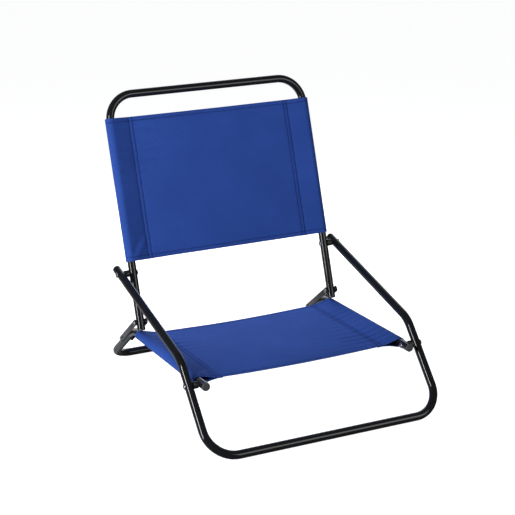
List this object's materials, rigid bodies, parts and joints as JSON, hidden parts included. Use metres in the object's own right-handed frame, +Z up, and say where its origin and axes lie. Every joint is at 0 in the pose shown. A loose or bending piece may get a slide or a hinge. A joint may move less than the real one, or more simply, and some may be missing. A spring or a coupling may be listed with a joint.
{
  "type": "folding camp chair",
  "caption": "Low folding camp chair: bent steel tube frames that pivot on rivets and flat link straps, with a fabric sling back and seat.",
  "frame": {"origin": "on the floor, under the middle of the open chair's box", "axes": "+X across the chair, its mirror axis; the sitter faces -Y; +Z up"},
  "size_m": [0.5928, 0.689, 0.6785],
  "materials": {
    "tube_paint": "gloss black powder coat",
    "link_paint": "semi-gloss black paint",
    "rivet_steel": "plated steel",
    "cap_plastic": "moulded dark grey plastic",
    "spacer_plastic": "moulded black plastic",
    "sling_fabric": "plain-weave royal blue polyester"
  },
  "bodies": {
    "seat_frame": {"seat_frame_tube": "tube_paint", "rail_cap_left": "cap_plastic", "rail_cap_right": "cap_plastic", "seat_rivet_left": "rivet_steel", "seat_rivet_right": "rivet_steel", "seat_spacer_left": "spacer_plastic", "seat_spacer_right": "spacer_plastic", "seat_fabric": "sling_fabric"},
    "front_frame": {"front_frame_tube": "tube_paint", "arm_cap_left": "cap_plastic", "arm_cap_right": "cap_plastic", "arm_rivet_head_left": "rivet_steel", "arm_rivet_head_right": "rivet_steel"},
    "backrest": {"backrest_tube": "tube_paint", "backrest_cap_left": "cap_plastic", "backrest_cap_right": "cap_plastic", "arm_rivet_left": "rivet_steel", "arm_rivet_right": "rivet_steel", "arm_spacer_left": "spacer_plastic", "arm_spacer_right": "spacer_plastic", "back_fabric": "sling_fabric"},
    "link_left": {"link_inner_left": "link_paint", "link_outer_left": "link_paint", "link_upper_rivet_left": "rivet_steel", "link_upper_washers_left": "spacer_plastic", "link_lower_rivet_left": "rivet_steel", "link_lower_washers_left": "spacer_plastic"},
    "link_right": {"link_inner_right": "link_paint", "link_outer_right": "link_paint", "link_upper_rivet_right": "rivet_steel", "link_upper_washers_right": "spacer_plastic", "link_lower_rivet_right": "rivet_steel", "link_lower_washers_right": "spacer_plastic"}
  },
  "joints": [
    {"name": "backrest_fold", "type": "hinge", "parent": "link_left", "child": "backrest", "pos_m": [0, 0.13228, 0.16199], "axis": [1, 0, 0], "range_deg": [0, 203.98]},
    {"name": "link_left_swing", "type": "hinge", "parent": "seat_frame", "child": "link_left", "pos_m": [0, 0.22818, 0.08985], "axis": [-1, 0, 0], "range_deg": [0, 94]},
    {"name": "link_right_swing", "type": "hinge", "parent": "seat_frame", "child": "link_right", "pos_m": [0, 0.22818, 0.08985], "axis": [-1, 0, 0], "range_deg": [0, 94]},
    {"name": "front_frame_swing", "type": "hinge", "parent": "seat_frame", "child": "front_frame", "pos_m": [0, -0.22202, 0.13597], "axis": [-1, 0, 0], "range_deg": [0, 13.6]}
  ],
  "couplings": [
    {"joint": "link_left_swing", "follows": "backrest_fold", "ratio": 0.46074},
    {"joint": "link_right_swing", "follows": "backrest_fold", "ratio": 0.46074},
    {"joint": "front_frame_swing", "follows": "backrest_fold", "ratio": 0.066654}
  ]
}
